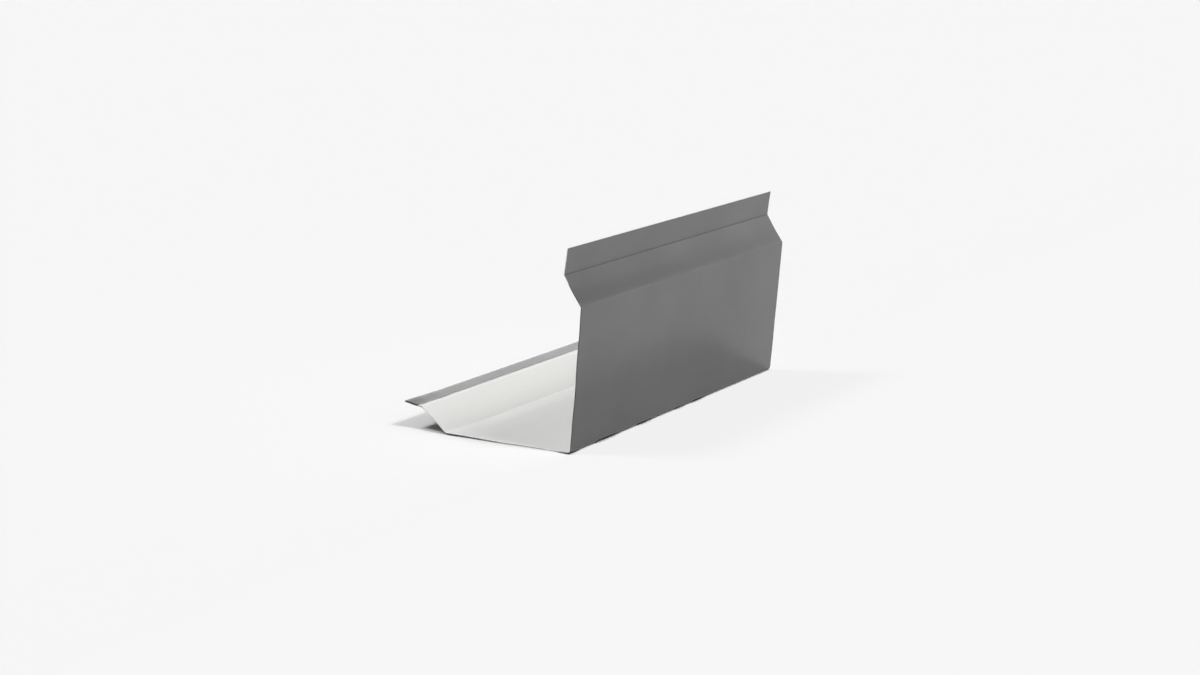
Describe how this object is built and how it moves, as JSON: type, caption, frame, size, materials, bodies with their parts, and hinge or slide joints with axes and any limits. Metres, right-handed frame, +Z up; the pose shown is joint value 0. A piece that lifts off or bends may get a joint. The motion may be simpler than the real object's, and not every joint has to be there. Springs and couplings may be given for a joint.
{
  "type": "rake trim",
  "caption": "Folded sheet-metal rake trim with a hemmed lip, flat pan, tall wall and jogged flange; covers a metal roof's sloping edge.",
  "frame": {"origin": "on the floor, under the centre of the bounding box", "axes": "+Z up from the pan, +Y along the bends, +X out through the wall"},
  "size_m": [0.1446, 0.3, 0.1402],
  "materials": {
    "painted_sheet": "satin charcoal coil paint outside, off-white backing coat inside"
  },
  "bodies": {
    "root": {"rake_trim": "painted_sheet"}
  },
  "joints": []
}
